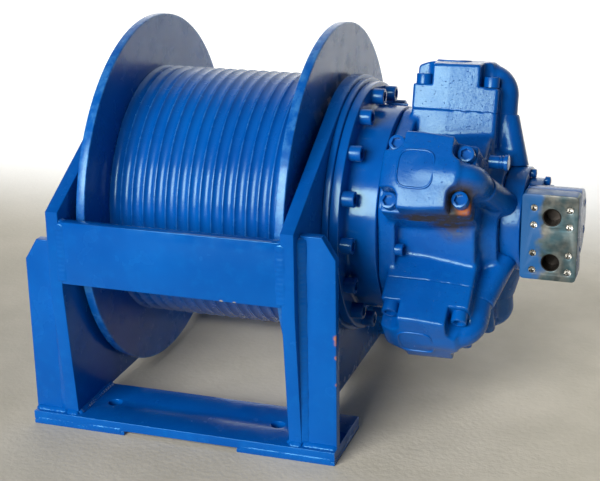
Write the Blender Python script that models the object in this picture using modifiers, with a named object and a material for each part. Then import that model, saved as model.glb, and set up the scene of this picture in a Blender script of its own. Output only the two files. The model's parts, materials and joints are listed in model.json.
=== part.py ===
"""Hydraulic winch: a rope drum in a welded frame, driven through a planetary
gearbox and a spring brake by a five-cylinder radial piston motor.

Axes: +X runs along the drum axis towards the motor, -Y is the front, +Z is up.
X is first counted from the middle of the drum; the whole object is then shifted
so that its origin lies under the middle of its bounding box. Units are metres.
"""

import math

import bmesh
import bpy
from mathutils import Matrix, Vector

GAP = 0.0003

# Frame
AXIS_HEIGHT = 0.300
FRAME_HALF_DEPTH = 0.309
BASE_HALF_LENGTH = 0.2435
PLATE_INNER_X = 0.171
PLATE_THICKNESS = 0.020
PLATE_HALF_DEPTH = 0.322
PLATE_FOOT_HALF = 0.300
PLATE_KNEE_Z = 0.232
PLATE_SHOULDER_Z = 0.354
PLATE_TOP_RADIUS = 0.205
PLATE_BORE_LEFT = 0.060
PLATE_BORE_RIGHT = 0.0903
STRIP_DEPTH = 0.126
STRIP_THICKNESS = 0.0145
PAD_THICKNESS = 0.007
PAD_LENGTH = 0.152
BOLT_HOLE_RADIUS = 0.011
BOLT_HOLE_X = 0.135
BEAM_BOTTOM_Z = 0.244
BEAM_TOP_Z = 0.340
BEAM_THICKNESS = 0.016
GUSSET_SETBACK = 0.012
GUSSET_THICKNESS = 0.016
GUSSET_TOP_LEFT = 0.300
GUSSET_TOP_RIGHT = 0.345
GUSSET_CHAMFER = (0.020, 0.032)

# Rope drum
DRUM_HALF_WIDTH = 0.148
DRUM_FLANGE_THICKNESS = 0.014
DRUM_FLANGE_RADIUS = 0.285
BARREL_RADIUS = 0.2015
BARREL_BORE = 0.178
GROOVE_COUNT = 16
GROOVE_DEPTH = 0.0045
BEARING_OUTER_LEFT = 0.060
BEARING_OUTER_RIGHT = 0.115
AXLE_RADIUS = 0.035

# Planetary gearbox: module, teeth and face width
MODULE = 0.008
SUN_TEETH = 12
PLANET_TEETH = 12
RING_TEETH = 36
GEAR_X = (0.080, 0.130)
PLANET_ORBIT = MODULE * (SUN_TEETH + PLANET_TEETH) / 2
PIN_RADIUS = 0.0172
CARRIER_HUB_RADIUS = 0.090
SHAFT_RADIUS = 0.020

# Mounting flange, brake and motor along X
FLANGE_X = (0.1913, 0.2040)
FLANGE_RADIUS = 0.200
BRAKE_X = (0.2043, 0.218, 0.250, 0.265)
BRAKE_FLANGE_RADIUS = 0.195
BRAKE_RADIUS = 0.1595
MOTOR_X = 0.343
CYLINDER_COUNT = 5
FIRST_CYLINDER_DEG = 32.5
CRANK_THROW = 0.008
ECCENTRIC_RADIUS = 0.030
JOURNAL_RADIUS = 0.0215
CYLINDER_BORE = 0.0353
PISTON_RADIUS = 0.0347
PAD_HALF_X = 0.065
PAD_HALF_T = 0.0575
PAD_BEND_X = -0.010
PAD_PORT_HALF_T = 0.0505
PARTING_RADIUS = 0.157
BOLT_SEAT_RADIUS = 0.1945
HEAD_TOP_RADIUS = 0.226
CRANKCASE_X = (0.2653, 0.288, 0.430)
CRANKCASE_FLANGE_RADIUS = 0.157
CRANKCASE_RADIUS = 0.128
CRANKCASE_TAPER = (0.405, 0.0975)
MAIN_BORE = 0.0523
REAR_COVER_X = (0.4303, 0.4605)
REAR_COVER_RADIUS = 0.080
HOUSING_X = (0.4608, 0.482, 0.533)
HOUSING_RADII = (0.064, 0.053)
END_COVER_X = (0.5333, 0.540)
END_COVER_RADIUS = 0.053
PORT_BLOCK_X = (0.463, 0.546)
PORT_FACE_Y = -0.083
PORT_BLOCK_BACK_Y = -0.030
PORT_BLOCK_HALF_Z = 0.066
PORT_CENTRE_X = 0.5076
PORT_SPACING = 0.070
PORT_RADIUS = 0.0125
PORT_BOLT_DX = 0.0524
PORT_BOLT_DZ = 0.0262

SHIFT = Vector(((BASE_HALF_LENGTH - PORT_BLOCK_X[1]) / 2, 0.0, 0.0))
AXIS = Vector((0.0, 0.0, AXIS_HEIGHT))

BLUE = (0.008, 0.105, 0.42, 1.0)
STEEL = (0.52, 0.53, 0.55, 1.0)
ZINC = (0.45, 0.50, 0.50, 1.0)
BRONZE = (0.55, 0.36, 0.14, 1.0)
RUBBER = (0.02, 0.02, 0.02, 1.0)
DARK = (0.12, 0.12, 0.13, 1.0)

for old in list(bpy.data.objects):
    bpy.data.objects.remove(old, do_unlink=True)

winch = bpy.data.collections.new("hydraulic_winch")
helpers = bpy.data.collections.new("cutters")
bpy.context.scene.collection.children.link(winch)
bpy.context.scene.collection.children.link(helpers)


def material(name, colour, roughness, metallic):
    made = bpy.data.materials.new(name + "_material")
    made.use_nodes = True
    shader = made.node_tree.nodes["Principled BSDF"]
    shader.inputs["Base Color"].default_value = colour
    shader.inputs["Roughness"].default_value = roughness
    shader.inputs["Metallic"].default_value = metallic
    return made


def place(name, data, location=AXIS, rotation=(0.0, 0.0, 0.0), finish=(BLUE, 0.35, 0.0)):
    """Links the object as a part, with a material of its own."""
    obj = bpy.data.objects.new(name, data)
    winch.objects.link(obj)
    obj.location = Vector(location) + SHIFT
    obj.rotation_euler = rotation
    data.materials.clear()
    data.materials.append(material(name, *finish))
    return obj


def helper(name, data, location=AXIS, rotation=(0.0, 0.0, 0.0)):
    """Links the object as a cutter or a shape that another part absorbs."""
    obj = bpy.data.objects.new(name, data)
    helpers.objects.link(obj)
    obj.location = Vector(location) + SHIFT
    obj.rotation_euler = rotation
    obj.hide_render = True
    obj.display_type = "WIRE"
    return obj


def boolean(obj, other, operation):
    modifier = obj.modifiers.new(operation.title(), "BOOLEAN")
    modifier.object = other
    modifier.operation = operation
    modifier.solver = "EXACT"


def box(name, low, high, bevel=0.0):
    """A box between two corners, with its edges rounded by one flat."""
    mesh = bpy.data.meshes.new(name)
    bm = bmesh.new()
    bmesh.ops.create_cube(bm, size=1.0)
    size = [b - a for a, b in zip(low, high)]
    middle = [(a + b) / 2 for a, b in zip(low, high)]
    matrix = Matrix.Translation(middle) @ Matrix.Diagonal((*size, 1.0))
    bmesh.ops.transform(bm, verts=bm.verts, matrix=matrix)
    if bevel:
        bmesh.ops.bevel(bm, geom=bm.edges[:], offset=bevel, segments=1, affect="EDGES")
    bm.to_mesh(mesh)
    bm.free()
    return mesh


def cylinder(name, radius, start, end, axis="X", segments=32, centre=(0.0, 0.0)):
    """A cylinder along X, Y or Z between two stations, its axis offset by centre."""
    mesh = bpy.data.meshes.new(name)
    bm = bmesh.new()
    bmesh.ops.create_cone(bm, cap_ends=True, segments=segments, radius1=radius, radius2=radius,
                          depth=end - start)
    turn = {"X": Matrix.Rotation(math.pi / 2, 4, "Y"), "Y": Matrix.Rotation(-math.pi / 2, 4, "X")}
    middle = (start + end) / 2
    offset = {"X": (middle, *centre), "Y": (centre[0], middle, centre[1]), "Z": (*centre, middle)}[axis]
    matrix = Matrix.Translation(offset) @ turn.get(axis, Matrix.Identity(4))
    bmesh.ops.transform(bm, verts=bm.verts, matrix=matrix)
    bm.to_mesh(mesh)
    bm.free()
    mesh.shade_smooth()
    mesh.set_sharp_from_angle(angle=math.radians(40))
    return mesh


def turned(name, profile, segments=32):
    """A profile of (x, radius) points turned about the X axis."""
    area = sum(a[0] * b[1] - b[0] * a[1] for a, b in zip(profile, profile[1:] + profile[:1]))
    points = profile if area > 0 else profile[::-1]
    mesh = bpy.data.meshes.new(name + "_profile")
    bm = bmesh.new()
    verts = [bm.verts.new((x, r, 0.0)) for x, r in points]
    for a, b in zip(verts, verts[1:] + verts[:1]):
        bm.edges.new((a, b))
    bm.to_mesh(mesh)
    bm.free()
    guide = helper(name + "_guide", mesh)
    screw = guide.modifiers.new("Turn", "SCREW")
    screw.axis = "X"
    screw.steps = screw.render_steps = segments
    screw.use_merge_vertices = True
    screw.merge_threshold = 0.00001
    return baked(guide, name)


def baked(guide, name):
    """The helper's evaluated shape as a mesh of its own; the helper goes."""
    bpy.context.view_layer.update()
    graph = bpy.context.evaluated_depsgraph_get()
    mesh = bpy.data.meshes.new_from_object(guide.evaluated_get(graph))
    mesh.name = name
    bm = bmesh.new()
    bm.from_mesh(mesh)
    bmesh.ops.remove_doubles(bm, verts=bm.verts, dist=0.000005)
    bm.to_mesh(mesh)
    bm.free()
    mesh.shade_smooth()
    mesh.set_sharp_from_angle(angle=math.radians(40))
    bpy.data.objects.remove(guide, do_unlink=True)
    return mesh


def outline(name, loops, thickness, matrix=Matrix.Identity(4)):
    """A flat plate: closed outlines in local XY, filled, and thick along local Z."""
    curve = bpy.data.curves.new(name + "_outline", "CURVE")
    curve.dimensions = "2D"
    curve.fill_mode = "BOTH"
    curve.extrude = thickness / 2
    for loop in loops:
        spline = curve.splines.new("POLY")
        spline.points.add(len(loop) - 1)
        for point, (x, y) in zip(spline.points, loop):
            point.co = (x, y, 0.0, 1.0)
        spline.use_cyclic_u = True
    mesh = baked(helper(name + "_guide", curve), name)
    mesh.transform(matrix)
    return mesh


def circle(radius, segments, centre=(0.0, 0.0)):
    turns = [2 * math.pi * i / segments for i in range(segments)]
    return [(centre[0] + radius * math.cos(t), centre[1] + radius * math.sin(t)) for t in turns]


# Turns a plate drawn in (Y, Z) to lie across the X axis.
ACROSS_X = Matrix(((0, 0, 1, 0), (1, 0, 0, 0), (0, 1, 0, 0), (0, 0, 0, 1)))


def plate_outline():
    """Side plate: edges that lean out from the foot and then stand upright beside the
    cross beams, with straight flanks tangent to the round top."""
    half, shoulder = PLATE_HALF_DEPTH, PLATE_SHOULDER_Z - AXIS_HEIGHT
    knee = PLATE_KNEE_Z - AXIS_HEIGHT
    foot = PAD_THICKNESS + STRIP_THICKNESS + GAP - AXIS_HEIGHT
    reach = math.hypot(half, shoulder)
    touch = math.atan2(shoulder, half) + math.acos(PLATE_TOP_RADIUS / reach)
    steps = 14
    angles = [touch + (math.pi - 2 * touch) * i / steps for i in range(steps + 1)]
    top = [(PLATE_TOP_RADIUS * math.cos(a), PLATE_TOP_RADIUS * math.sin(a)) for a in angles]
    front = [(PLATE_FOOT_HALF, foot), (half, knee), (half, shoulder)]
    return front + top + [(-y, z) for y, z in front[::-1]]


def make_frame():
    strip_top = PAD_THICKNESS + STRIP_THICKNESS
    plate_z = strip_top + GAP
    middle = PLATE_INNER_X + PLATE_THICKNESS / 2
    for side, name, bore in ((-1, "left", PLATE_BORE_LEFT), (1, "right", PLATE_BORE_RIGHT)):
        mesh = outline("side_plate", [plate_outline(), circle(bore, 32)], PLATE_THICKNESS, ACROSS_X)
        place("side_plate_" + name, mesh, AXIS + Vector((side * middle, 0, 0)))
    for side, name in ((-1, "front"), (1, "rear")):
        reach = PLATE_INNER_X - GAP
        face, back = side * PLATE_HALF_DEPTH, side * (PLATE_HALF_DEPTH - BEAM_THICKNESS)
        low = (-reach, min(face, back), BEAM_BOTTOM_Z)
        high = (reach, max(face, back), BEAM_TOP_Z)
        place("cross_beam_" + name, box("cross_beam", low, high), (0, 0, 0))
        centre_y = side * (FRAME_HALF_DEPTH - STRIP_DEPTH / 2)
        half = STRIP_DEPTH / 2
        corners = [(-BASE_HALF_LENGTH, -half), (BASE_HALF_LENGTH, -half),
                   (BASE_HALF_LENGTH, half), (-BASE_HALF_LENGTH, half)]
        holes = [circle(BOLT_HOLE_RADIUS, 16, (x, 0.0)) for x in (-BOLT_HOLE_X, BOLT_HOLE_X)]
        mesh = outline("base_strip", [corners] + holes, STRIP_THICKNESS)
        place("base_strip_" + name, mesh, (0, centre_y, strip_top - STRIP_THICKNESS / 2))
        for end, hand in ((-1, "left"), (1, "right")):
            far, near = end * BASE_HALF_LENGTH, end * (BASE_HALF_LENGTH - PAD_LENGTH)
            edge_y, inner_y = side * FRAME_HALF_DEPTH, side * (FRAME_HALF_DEPTH - STRIP_DEPTH)
            low = (min(far, near), min(edge_y, inner_y), 0.0)
            high = (max(far, near), max(edge_y, inner_y), PAD_THICKNESS - GAP)
            pad = place(f"foot_pad_{name}_{hand}", box("foot_pad", low, high), (0, 0, 0))
            hole = cylinder("pad_hole", BOLT_HOLE_RADIUS, -0.01, 0.02, "Z", 16)
            boolean(pad, helper("pad_hole", hole, (end * BOLT_HOLE_X, centre_y, 0)), "DIFFERENCE")
            make_gusset(side, name, end, hand, plate_z)


def make_gusset(side, name, end, hand, foot):
    """Outer rib that braces the side plate against the base, one corner cut off."""
    top = GUSSET_TOP_LEFT if end < 0 else GUSSET_TOP_RIGHT
    inner = PLATE_INNER_X + PLATE_THICKNESS + GAP
    outer = BASE_HALF_LENGTH
    cut_x, cut_z = GUSSET_CHAMFER
    shape = [(inner, foot), (outer, foot), (outer, top - cut_z), (outer - cut_x, top), (inner, top)]
    points = [(end * x, z) for x, z in shape]
    upright = Matrix.Rotation(math.pi / 2, 4, "X")
    mesh = outline("gusset", [points], GUSSET_THICKNESS, upright)
    y = side * (FRAME_HALF_DEPTH - GUSSET_SETBACK - GUSSET_THICKNESS / 2)
    place(f"gusset_{name}_{hand}", mesh, (0, y, 0))


def barrel_profile():
    """Barrel wall: one rounded rope groove after another, and a plain bore."""
    pitch = 2 * DRUM_HALF_WIDTH / GROOVE_COUNT
    half = DRUM_HALF_WIDTH - GAP
    points = [(-half, BARREL_RADIUS)]
    for i in range(GROOVE_COUNT):
        start = -DRUM_HALF_WIDTH + i * pitch
        points += [(start + 0.30 * pitch, BARREL_RADIUS - GROOVE_DEPTH),
                   (start + 0.70 * pitch, BARREL_RADIUS - GROOVE_DEPTH)]
        if i < GROOVE_COUNT - 1:
            points += [(start + pitch, BARREL_RADIUS)]
    return points + [(half, BARREL_RADIUS), (half, BARREL_BORE), (-half, BARREL_BORE)]


def make_drum():
    place("drum_barrel", turned("drum_barrel", barrel_profile(), 32))
    for side, name, bore in ((-1, "left", BEARING_OUTER_LEFT), (1, "right", BEARING_OUTER_RIGHT)):
        x = side * (DRUM_HALF_WIDTH + DRUM_FLANGE_THICKNESS / 2)
        disc = [circle(DRUM_FLANGE_RADIUS, 48), circle(bore + GAP, 32)]
        mesh = outline("drum_flange", disc, DRUM_FLANGE_THICKNESS, ACROSS_X)
        place("drum_flange_" + name, mesh, AXIS + Vector((x, 0, 0)))
    start, end = -DRUM_HALF_WIDTH - 0.012, -DRUM_HALF_WIDTH - 0.002
    race = ring(start, end, AXLE_RADIUS + GAP, BEARING_OUTER_LEFT)
    place("drum_bearing_left", turned("drum_bearing_left", race), finish=(STEEL, 0.25, 1.0))
    start, end = DRUM_HALF_WIDTH + 0.001, DRUM_HALF_WIDTH + 0.013
    race = ring(start, end, CARRIER_HUB_RADIUS + 2 * GAP, BEARING_OUTER_RIGHT)
    place("drum_bearing_right", turned("drum_bearing_right", race), finish=(STEEL, 0.25, 1.0))
    plate = -PLATE_INNER_X
    outer = plate - PLATE_THICKNESS - GAP
    axle = [(outer - 0.014, 0.0), (outer - 0.014, 0.095), (outer, 0.095), (outer, 0.0595),
            (plate, 0.0595), (plate, AXLE_RADIUS), (-DRUM_HALF_WIDTH + 0.010, AXLE_RADIUS),
            (-DRUM_HALF_WIDTH + 0.010, 0.0)]
    place("stub_axle", turned("stub_axle", axle))


def gear_outline(teeth, tooth_sign, phase=0.0):
    """Tooth outline of a gear, tips outwards; tooth_sign -1 makes an internal gear."""
    pitch_radius = MODULE * teeth / 2
    tip = pitch_radius + tooth_sign * 0.85 * MODULE
    root = pitch_radius - tooth_sign * 1.10 * MODULE
    pitch = 2 * math.pi / teeth
    wide, narrow = 0.30 * pitch, 0.115 * pitch
    points = []
    for i in range(teeth):
        middle = phase + i * pitch
        for radius, angle in ((root, -wide), (tip, -narrow), (tip, narrow), (root, wide)):
            points.append((radius * math.cos(middle + angle), radius * math.sin(middle + angle)))
    return points


def make_gears():
    width = GEAR_X[1] - GEAR_X[0]
    middle = (GEAR_X[0] + GEAR_X[1]) / 2
    outer = circle(BARREL_BORE - GAP, 32)
    ring_phase = math.pi / RING_TEETH
    mesh = outline("ring_gear", [outer, gear_outline(RING_TEETH, -1, ring_phase)], width, ACROSS_X)
    place("ring_gear", mesh, AXIS + Vector((middle, 0, 0)), finish=(STEEL, 0.35, 1.0))
    for i in range(3):
        angle = 2 * math.pi * i / 3
        centre = Vector((middle, PLANET_ORBIT * math.cos(angle), PLANET_ORBIT * math.sin(angle)))
        phase = angle * (RING_TEETH / PLANET_TEETH + 1)
        loops = [gear_outline(PLANET_TEETH, 1, phase), circle(0.018, 16)]
        mesh = outline("planet_gear", loops, width, ACROSS_X)
        place(f"planet_gear_{i + 1}", mesh, AXIS + centre, finish=(STEEL, 0.35, 1.0))
    make_carrier()
    sun_phase = math.pi / SUN_TEETH
    sun = outline("sun_gear", [gear_outline(SUN_TEETH, 1, sun_phase)], width, ACROSS_X)
    shaft = place("sun_shaft", sun, AXIS + Vector((middle, 0, 0)), finish=(STEEL, 0.35, 1.0))
    end = BRAKE_X[3] + 0.001
    stem = cylinder("sun_stem", SHAFT_RADIUS, GEAR_X[0] + 0.01, end, segments=20)
    boolean(shaft, helper("sun_stem", stem), "UNION")


def make_carrier():
    """Fixed planet carrier: disc and hollow hub in one, with three pins."""
    disc = (DRUM_HALF_WIDTH - 0.015, DRUM_HALF_WIDTH - 0.001)
    hub_end = FLANGE_X[0] - GAP
    profile = [(disc[0], 0.030), (disc[0], 0.130), (disc[1], 0.130), (disc[1], CARRIER_HUB_RADIUS),
               (hub_end, CARRIER_HUB_RADIUS), (hub_end, 0.030)]
    carrier = place("planet_carrier", turned("planet_carrier", profile), finish=(DARK, 0.5, 0.8))
    for i in range(3):
        angle = 2 * math.pi * i / 3
        centre = (PLANET_ORBIT * math.cos(angle), PLANET_ORBIT * math.sin(angle))
        pin = cylinder("planet_pin", PIN_RADIUS, GEAR_X[0] - 0.002, disc[0] + 0.005, "X", 16, centre)
        boolean(carrier, helper(f"planet_pin_{i + 1}", pin), "UNION")


def ring(x0, x1, r0, r1):
    return [(x0, r0), (x0, r1), (x1, r1), (x1, r0)]


def make_brake():
    mesh = turned("gearbox_flange", ring(*FLANGE_X, 0.030, FLANGE_RADIUS), 48)
    place("gearbox_flange", mesh)
    start, flange_end, cone, end = BRAKE_X
    rim = 0.0025
    shell = [(start, 0.115), (start, BRAKE_FLANGE_RADIUS), (flange_end - rim, BRAKE_FLANGE_RADIUS),
             (flange_end, BRAKE_FLANGE_RADIUS - rim), (flange_end, BRAKE_RADIUS), (cone, BRAKE_RADIUS),
             (end, CRANKCASE_FLANGE_RADIUS), (end, 0.030), (end - 0.010, 0.030), (end - 0.010, 0.115)]
    place("brake_housing", turned("brake_housing", shell, 48))
    for i, x in enumerate((0.212, 0.226)):
        mesh = turned("brake_plate", ring(x, x + 0.006, 0.060, 0.1147), 24)
        place(f"brake_plate_{i + 1}", mesh, finish=(DARK, 0.6, 0.8))
    mesh = turned("brake_disc", ring(0.2190, 0.2250, SHAFT_RADIUS + GAP, 0.100), 24)
    place("brake_disc", mesh, finish=(BRONZE, 0.5, 0.9))
    mesh = turned("brake_piston", ring(0.234, 0.250, 0.045, 0.1147), 24)
    place("brake_piston", mesh, finish=(STEEL, 0.35, 1.0))


def cylinder_turn(index):
    """Turns local +Z onto the cylinder's axis and local +Y onto its tangent."""
    angle = FIRST_CYLINDER_DEG + 360.0 / CYLINDER_COUNT * index
    return (math.radians(90.0 - angle), 0.0, 0.0)


def side_view(name, points, half_width):
    """A profile drawn in local (X, Z), as thick as twice half_width along Y."""
    return outline(name, [points], 2 * half_width, Matrix.Rotation(math.pi / 2, 4, "X"))


def plan_block(name, low, high):
    """A block with a cylinder pad's outline, which narrows towards the port side."""
    upper = [(PAD_HALF_X, PAD_PORT_HALF_T), (PAD_BEND_X, PAD_HALF_T), (-PAD_HALF_X, PAD_HALF_T)]
    shape = upper + [(x, -t) for x, t in reversed(upper)]
    return outline(name, [shape], high - low, Matrix.Translation((0, 0, (low + high) / 2)))


def make_crankcase():
    flange_start, flange_end, back = CRANKCASE_X
    half_step = math.radians(180.0 / CYLINDER_COUNT)
    mesh = cylinder("crankcase", CRANKCASE_FLANGE_RADIUS, flange_start, flange_end, segments=40)
    case = place("crankcase", mesh, finish=(BLUE, 0.45, 0.0))
    taper_x, back_radius = CRANKCASE_TAPER
    front = flange_end - 0.005
    profile = [(front, 0.0), (front, CRANKCASE_RADIUS), (taper_x, CRANKCASE_RADIUS), (back, back_radius),
               (back, 0.0)]
    boolean(case, helper("crankcase_barrel", turned("barrel", profile, 30)), "UNION")
    top = PARTING_RADIUS - GAP
    duct = [(0.050, top - 0.0005), (0.050, 0.084), (0.112, 0.070), (0.0875, top - 0.0005)]
    pad = plan_block("pad", 0.060, top)
    duct_mesh = side_view("case_duct", duct, 0.020)
    bore = cylinder("case_bore", CYLINDER_BORE, 0.040, top + 0.01, "Z", 24)
    centre = AXIS + Vector((MOTOR_X, 0, 0))
    for i in range(CYLINDER_COUNT):
        turn = cylinder_turn(i)
        boolean(case, helper(f"pad_{i + 1}", pad, centre, turn), "UNION")
        boolean(case, helper(f"case_duct_{i + 1}", duct_mesh, centre, turn), "UNION")
    cover = cylinder("cover_room", REAR_COVER_RADIUS + GAP, back - 0.0005, back + 0.05, segments=36)
    main_bore = cylinder("main_bore", MAIN_BORE, flange_start - 0.01, back + 0.01, segments=24)
    chamber = cylinder("chamber", 0.090, MOTOR_X - 0.029, MOTOR_X + 0.029, segments=30)
    boolean(case, helper("cover_room", cover), "DIFFERENCE")
    boolean(case, helper("main_bore", main_bore), "DIFFERENCE")
    boolean(case, helper("chamber", chamber), "DIFFERENCE")
    for i in range(CYLINDER_COUNT):
        boolean(case, helper(f"case_bore_{i + 1}", bore, centre, cylinder_turn(i)), "DIFFERENCE")
    reach = CRANKCASE_FLANGE_RADIUS
    flat = box("valley_flat", (flange_start - 0.01, -0.1, 0.148), (flange_end + 0.005, 0.1, reach + 0.02))
    for i in range(CYLINDER_COUNT):
        turn = (cylinder_turn(i)[0] + half_step, 0.0, 0.0)
        boolean(case, helper(f"valley_flat_{i + 1}", flat, AXIS, turn), "DIFFERENCE")


def head_mesh():
    """One cylinder head: stepped block with corner notches, elbow duct and bore."""
    low, seat, top = PARTING_RADIUS, BOLT_SEAT_RADIUS, HEAD_TOP_RADIUS
    block = plan_block("head", low, seat)
    head = helper("head_block", block, (0, 0, 0))
    shapes = [
        box("ridge", (-0.038, -0.0525, seat - 0.02), (0.034, 0.0525, top), 0.006),
        box("inner_rib", (-0.060, -0.029, seat - 0.02), (0.030, 0.029, top), 0.006),
        side_view("elbow", [(0.040, low), (0.087, low), (0.087, 0.188), (0.079, 0.204), (0.070, 0.215),
                            (0.056, 0.225), (0.036, 0.230), (0.010, 0.230), (0.010, 0.170)], 0.020),
    ]
    for i, shape in enumerate(shapes):
        boolean(head, helper(f"head_shape_{i}", shape, (0, 0, 0)), "UNION")
    bore = cylinder("head_bore", CYLINDER_BORE, low - 0.01, 0.200, "Z", 24)
    boolean(head, helper("head_bore", bore, (0, 0, 0)), "DIFFERENCE")
    return baked(head, "cylinder_head")


def make_cylinders():
    centre = AXIS + Vector((MOTOR_X, 0, 0))
    head = head_mesh()
    piston = cylinder("piston", PISTON_RADIUS, 0.108, 0.150, "Z", 24)
    shoe = box("shoe", (-0.022, -0.021, 0.0468), (0.022, 0.021, 0.060), 0.003)
    stem = cylinder("stem", 0.011, 0.055, 0.108 - GAP, "Z", 12)
    rod = helper("rod_shape", shoe, (0, 0, 0))
    boolean(rod, helper("rod_stem", stem, (0, 0, 0)), "UNION")
    rod_mesh = baked(rod, "connecting_rod")
    for i in range(CYLINDER_COUNT):
        turn = cylinder_turn(i)
        place(f"cylinder_head_{i + 1}", head.copy(), centre, turn, (BLUE, 0.4, 0.0))
        place(f"piston_{i + 1}", piston.copy(), centre, turn, (STEEL, 0.2, 1.0))
        place(f"connecting_rod_{i + 1}", rod_mesh.copy(), centre, turn, (STEEL, 0.35, 1.0))


def make_crankshaft():
    start, end = BRAKE_X[3] + 0.002, 0.432
    shaft = place("crankshaft", cylinder("crankshaft", JOURNAL_RADIUS, start, end, segments=20),
                  finish=(STEEL, 0.3, 1.0))
    half = 0.024
    eccentric = cylinder("eccentric", ECCENTRIC_RADIUS, MOTOR_X - half, MOTOR_X + half, segments=28,
                         centre=(0.0, CRANK_THROW))
    boolean(shaft, helper("eccentric", eccentric), "UNION")
    for name, x in (("front", 0.290), ("rear", 0.378)):
        mesh = turned("main_bearing", ring(x, x + 0.020, JOURNAL_RADIUS + GAP, MAIN_BORE - GAP), 24)
        place("main_bearing_" + name, mesh, finish=(STEEL, 0.25, 1.0))
    mesh = turned("shaft_seal", ring(0.270, 0.279, JOURNAL_RADIUS + GAP, MAIN_BORE - GAP), 24)
    place("shaft_seal", mesh, finish=(RUBBER, 0.7, 0.0))


def make_distributor():
    cover = ring(*REAR_COVER_X, 0.0413, REAR_COVER_RADIUS)
    place("rear_cover", turned("rear_cover", cover, 36), finish=(BLUE, 0.4, 0.0))
    rotor = cylinder("distributor_rotor", 0.041 - GAP, 0.4323, HOUSING_X[0] - GAP, segments=24)
    place("distributor_rotor", rotor, finish=(BRONZE, 0.3, 1.0))
    start, step, end = HOUSING_X
    wide, narrow = HOUSING_RADII
    body = [(start, 0.0), (start, wide), (step, wide), (step, narrow), (end, narrow), (end, 0.0)]
    place("distributor_housing", turned("distributor_housing", body, 32), finish=(BLUE, 0.4, 0.0))
    start, end = END_COVER_X
    rim = 0.003
    plate = [(start, 0.0), (start, END_COVER_RADIUS), (end - rim, END_COVER_RADIUS),
             (end, END_COVER_RADIUS - rim), (end, 0.0)]
    place("end_cover", turned("end_cover", plate, 32), finish=(BLUE, 0.4, 0.0))
    make_port_block()


def make_port_block():
    """Block with two split-flange ports, hollowed at the back to hug the housing."""
    low = (PORT_BLOCK_X[0], PORT_FACE_Y, -PORT_BLOCK_HALF_Z)
    high = (PORT_BLOCK_X[1], PORT_BLOCK_BACK_Y, PORT_BLOCK_HALF_Z)
    block = place("port_block", box("port_block", low, high, 0.003), finish=(ZINC, 0.4, 0.7))
    start, step, _ = HOUSING_X
    wide, narrow = HOUSING_RADII
    rooms = (("wide", wide, start - 0.01, step + GAP),
             ("narrow", narrow, step - 0.01, PORT_BLOCK_X[1] + 0.01))
    for name, radius, x0, x1 in rooms:
        room = cylinder("room", radius + 2 * GAP, x0, x1, segments=32)
        boolean(block, helper("housing_room_" + name, room), "DIFFERENCE")
    for i, z in enumerate((-PORT_SPACING / 2, PORT_SPACING / 2)):
        z -= 0.003
        depth = PORT_FACE_Y + 0.0130
        port = cylinder("port", PORT_RADIUS, PORT_FACE_Y - 0.01, depth, "Y", 20, (PORT_CENTRE_X, z))
        boolean(block, helper(f"port_{i + 1}", port), "DIFFERENCE")
        for j in range(4):
            x = PORT_CENTRE_X + (j % 2 - 0.5) * PORT_BOLT_DX
            hole_z = z + (j // 2 - 0.5) * PORT_BOLT_DZ
            hole = cylinder("bolt_hole", 0.0045, PORT_FACE_Y - 0.01, PORT_FACE_Y + 0.012, "Y", 8,
                            (x, hole_z))
            boolean(block, helper(f"bolt_hole_{i + 1}_{j + 1}", hole), "DIFFERENCE")


make_frame()
make_drum()
make_gears()
make_brake()
make_crankcase()
make_cylinders()
make_crankshaft()
make_distributor()
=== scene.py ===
"""Looks of the hydraulic winch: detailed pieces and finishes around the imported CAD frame.

The frame's axes hold here too: +X runs along the drum towards the motor, -Y is the
front and +Z is up. Round the motor a point is also given by x, by n, its distance
from the crank's axis along a cylinder, and by t, its distance across that cylinder.
"""

import json
import math
import random

import bmesh
import bpy
import numpy as np
from mathutils import Matrix, Vector, noise


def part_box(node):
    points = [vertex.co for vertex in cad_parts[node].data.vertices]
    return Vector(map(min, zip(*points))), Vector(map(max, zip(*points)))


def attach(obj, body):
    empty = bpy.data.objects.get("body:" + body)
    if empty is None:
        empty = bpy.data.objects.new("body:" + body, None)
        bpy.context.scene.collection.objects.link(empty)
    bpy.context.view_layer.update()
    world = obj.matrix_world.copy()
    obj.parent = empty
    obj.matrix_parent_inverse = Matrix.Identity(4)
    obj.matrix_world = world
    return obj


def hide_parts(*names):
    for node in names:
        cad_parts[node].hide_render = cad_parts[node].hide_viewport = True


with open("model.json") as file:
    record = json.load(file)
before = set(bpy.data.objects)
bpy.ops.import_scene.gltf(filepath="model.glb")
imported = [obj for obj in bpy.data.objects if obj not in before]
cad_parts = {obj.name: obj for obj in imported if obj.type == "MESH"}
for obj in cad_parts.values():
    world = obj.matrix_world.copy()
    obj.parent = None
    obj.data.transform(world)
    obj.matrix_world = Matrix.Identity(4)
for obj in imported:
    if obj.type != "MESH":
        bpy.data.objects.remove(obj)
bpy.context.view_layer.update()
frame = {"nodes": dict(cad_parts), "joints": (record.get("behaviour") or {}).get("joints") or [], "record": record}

JOINTS = {joint["name"]: joint for joint in frame["joints"]}
SLOTS = {part["node"]: part["material_slot"] for part in frame["record"]["subparts"]}

MOTOR = Vector(JOINTS["crank_spin"]["pos_m"])
AXIS_Z = MOTOR.z
CYLINDERS = [Vector(JOINTS[f"piston_stroke_{i}"]["axis"]) for i in range(1, 6)]
FIRST_ANGLE = math.atan2(CYLINDERS[0].z, -CYLINDERS[0].y)
STEP_ANGLE = 2 * math.pi / len(CYLINDERS)
ALONG_X = Vector((1.0, 0.0, 0.0))

# Rope drum
GROOVES = 16
GROOVE_DEPTH = 0.0046
CREST_WIDTH = 0.0014
BARREL_BORE = 0.178
FLANGE_BORES = {"left": 0.0603, "right": 0.1153}

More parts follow.
